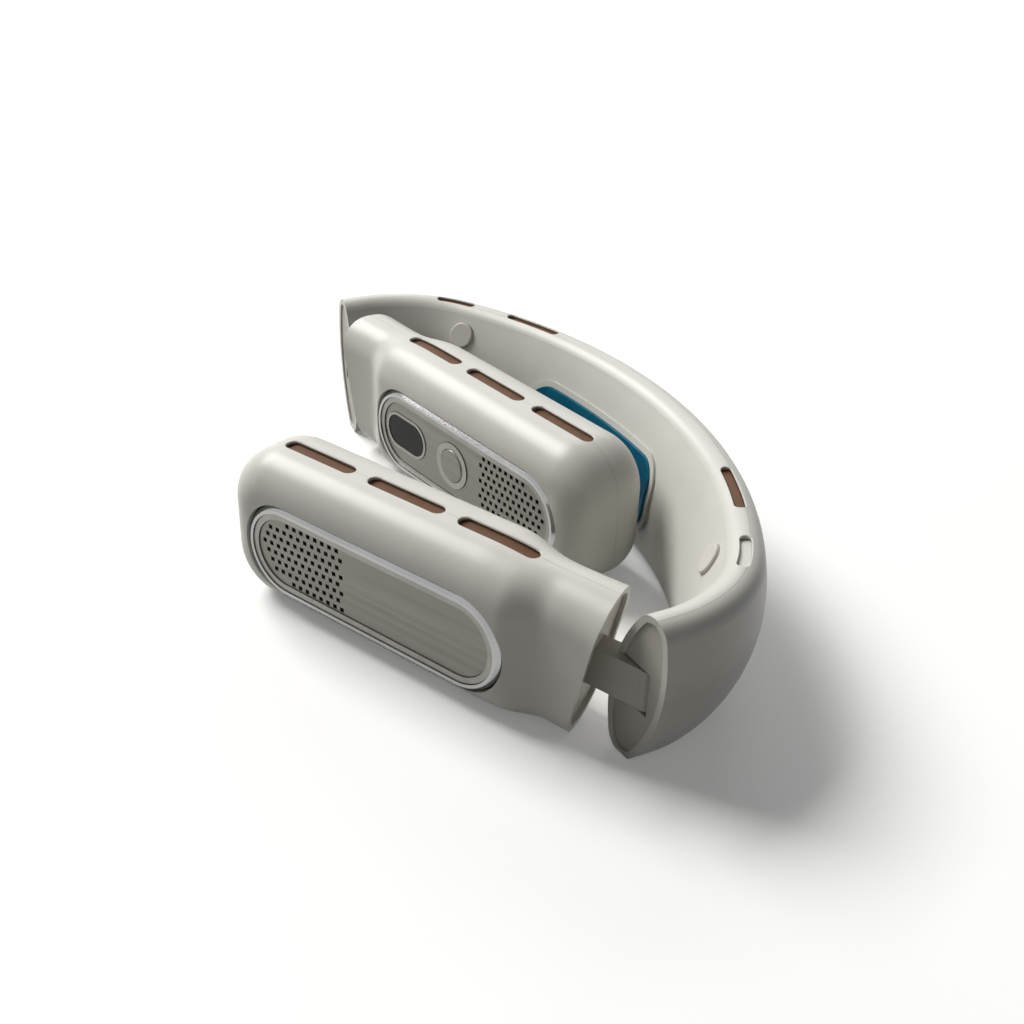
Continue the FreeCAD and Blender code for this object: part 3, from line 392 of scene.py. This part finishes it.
# a thin plate behind each grille, between face and back
gauzeValues = {"place": 101.6, "height": 20.2, "half": (14.8, 9.3), "face": 12.0, "back": 11.7}
for side in armAngles:
    halfRun, halfRise = gauzeValues["half"]
    along = gauzeValues["place"] + halfRun * np.array([-1, 1, 1, -1, -1, 1, 1, -1])
    height = gauzeValues["height"] + halfRise * np.array([-1, -1, 1, 1, -1, -1, 1, 1])
    across = np.repeat([gauzeValues["face"], gauzeValues["back"]], 4)
    corners = armPlace(side, along, across, height)
    quads = [(0, 1, 2, 3), (7, 6, 5, 4), (0, 4, 5, 1), (1, 5, 6, 2), (2, 6, 7, 3), (3, 7, 4, 0)]
    gauze = addPiece(side + "_grille_gauze", corners, quads, wireGauze, side + "_arm")
    gauze.data.polygons.foreach_set("use_smooth", np.zeros(len(quads), bool))
print("stage: slot lips, slot floors and gauze made")


# Studio


def areaLight(values):
    # a rectangular lamp that faces its aim, place and size in metres
    data = bpy.data.lights.new(values["name"], "AREA")
    data.shape = "RECTANGLE"
    data.size, data.size_y = values["size"]
    data.energy = values["watts"]
    data.color = linearColour(values["colour"])[:3]
    lamp = bpy.data.objects.new(values["name"], data)
    bpy.context.scene.collection.objects.link(lamp)
    lamp.location = values["place"]
    aim = Vector(values["aim"]) - Vector(values["place"])
    lamp.rotation_euler = aim.to_track_quat("-Z", "Y").to_euler()


# a large softbox high on the picture's left, and a weak one further back
lampAim = (0, 0.02, 0.02)
areaLight({"name": "key_softbox", "place": (-2.38, -1.05, 2.70), "aim": lampAim, "size": (2.2, 1.8),
           "watts": 168.0, "colour": "FFFEFB"})
areaLight({"name": "back_softbox", "place": (-2.60, 1.35, 1.75), "aim": lampAim, "size": (2.6, 1.1),
           "watts": 22.0, "colour": "FFFFFF"})


def seenRays(tree):
    # 1 for what the eye sees, straight or in metal and glass, and 0 for light that is thrown back
    rays = addNode(tree, "ShaderNodeLightPath").outputs
    direct = addNode(tree, "ShaderNodeMath", None, {0: rays["Is Camera Ray"], 1: rays["Is Glossy Ray"]})
    seen = addNode(tree, "ShaderNodeMath", None, {0: direct.outputs[0], 1: rays["Is Transmission Ray"]},
                   use_clamp=True)
    return seen.outputs[0]


# white behind the object, and only a little light from it
worldValues = {"colour": "F6F7F8", "light": 0.08, "seen": 1.0}
world = bpy.data.worlds.new("studio_world")
world.use_nodes = True
backdrop = world.node_tree.nodes["Background"]
backdrop.inputs["Color"].default_value = linearColour(worldValues["colour"])
strength = addNode(world.node_tree, "ShaderNodeMapRange",
                   {"To Min": worldValues["light"], "To Max": worldValues["seen"]},
                   {"Value": seenRays(world.node_tree)})
world.node_tree.links.new(strength.outputs[0], backdrop.inputs["Strength"])
bpy.context.scene.world = world
bpy.context.scene.view_settings.view_transform = "Standard"

# the floor shows white to the eye and in metal, whiter far off, and throws less light back than it shows
floorValues = {"half": 40.0, "colour": "F4F4F2", "tone": "F6F6F5", "bounce": "989896", "glow": "FFFFFF",
               "lift": (0.16, 1.0), "fade": (0.7, 2.6)}
# rolled matte paint: an even pale ground with no gloss
floorMaterial = makeMaterial({
    "name": "painted_studio_floor", "colour": floorValues["colour"], "tone": floorValues["tone"],
    "mottleMm": 60.0, "grainMm": 1.0, "depthMm": 0.01, "roughness": (0.7, 0.8)})
mixSockets = {"factor": 0, "first": 6, "second": 7, "result": 2}    # a Mix node's colour sockets
tree = floorMaterial.node_tree
shader = next(node for node in tree.nodes if node.type == "BSDF_PRINCIPLED")
seen = seenRays(tree)
shade = addNode(tree, "ShaderNodeMix", {mixSockets["first"]: linearColour(floorValues["bounce"])},
                {mixSockets["factor"]: seen,
                 mixSockets["second"]: shader.inputs["Base Color"].links[0].from_socket}, data_type="RGBA")
away = addNode(tree, "ShaderNodeVectorMath", None,
               {0: addNode(tree, "ShaderNodeTexCoord").outputs["Object"]}, operation="LENGTH")
fadeStart, fadeEnd = floorValues["fade"]
nearLift, farLift = floorValues["lift"]
glow = addNode(tree, "ShaderNodeMapRange",
               {"From Min": fadeStart, "From Max": fadeEnd, "To Min": nearLift, "To Max": farLift},
               {"Value": away.outputs["Value"]})
lift = addNode(tree, "ShaderNodeMath", None, {0: glow.outputs[0], 1: seen}, operation="MULTIPLY")
tree.links.new(shade.outputs[mixSockets["result"]], shader.inputs["Base Color"])
tree.links.new(lift.outputs[0], shader.inputs["Emission Strength"])
shader.inputs["Emission Color"].default_value = linearColour(floorValues["glow"])
reach = floorValues["half"]
floorCorners = [(-reach, -reach, 0), (reach, -reach, 0), (reach, reach, 0), (-reach, reach, 0)]
floorMesh = bpy.data.meshes.new("studio_floor")
floorMesh.from_pydata(floorCorners, [], [(0, 1, 2, 3)])
floorMesh.materials.append(floorMaterial)
floorPiece = bpy.data.objects.new("studio_floor", floorMesh)
bpy.context.scene.collection.objects.link(floorPiece)

# the camera stands where the photograph was taken from, as fitted to its outlines:
# place in mm, angles in radians, focal length and picture middle in pixels
cameraValues = {"place": (304.23, -145.96, 221.53), "azimuth": -1.0919239, "pitch": 0.5355557,
                "roll": 0.0359183, "focal": 1350.0, "middle": (511.21, 498.94), "image": 1024,
                "sensorMm": 36.0}
azimuth, pitch, roll = (cameraValues[key] for key in ("azimuth", "pitch", "roll"))
forward = Vector((math.sin(azimuth) * math.cos(pitch), math.cos(azimuth) * math.cos(pitch), -math.sin(pitch)))
right = Vector((math.cos(azimuth), -math.sin(azimuth), 0))
upward = right.cross(forward)
rolledRight = math.cos(roll) * right + math.sin(roll) * upward
rolledUp = -math.sin(roll) * right + math.cos(roll) * upward
cameraTurn = Matrix((rolledRight, rolledUp, -forward)).transposed().to_4x4()
cameraData = bpy.data.cameras.new("photo_camera")
camera = bpy.data.objects.new("photo_camera", cameraData)
bpy.context.scene.collection.objects.link(camera)
camera.matrix_world = Matrix.Translation(Vector(cameraValues["place"]) * mm) @ cameraTurn
pixels = cameraValues["image"]
cameraData.sensor_width = cameraValues["sensorMm"]
cameraData.lens = cameraValues["sensorMm"] * cameraValues["focal"] / pixels
cameraData.shift_x = (pixels / 2 - cameraValues["middle"][0]) / pixels
cameraData.shift_y = (cameraValues["middle"][1] - pixels / 2) / pixels
bpy.context.scene.camera = camera
print("stage: studio set")
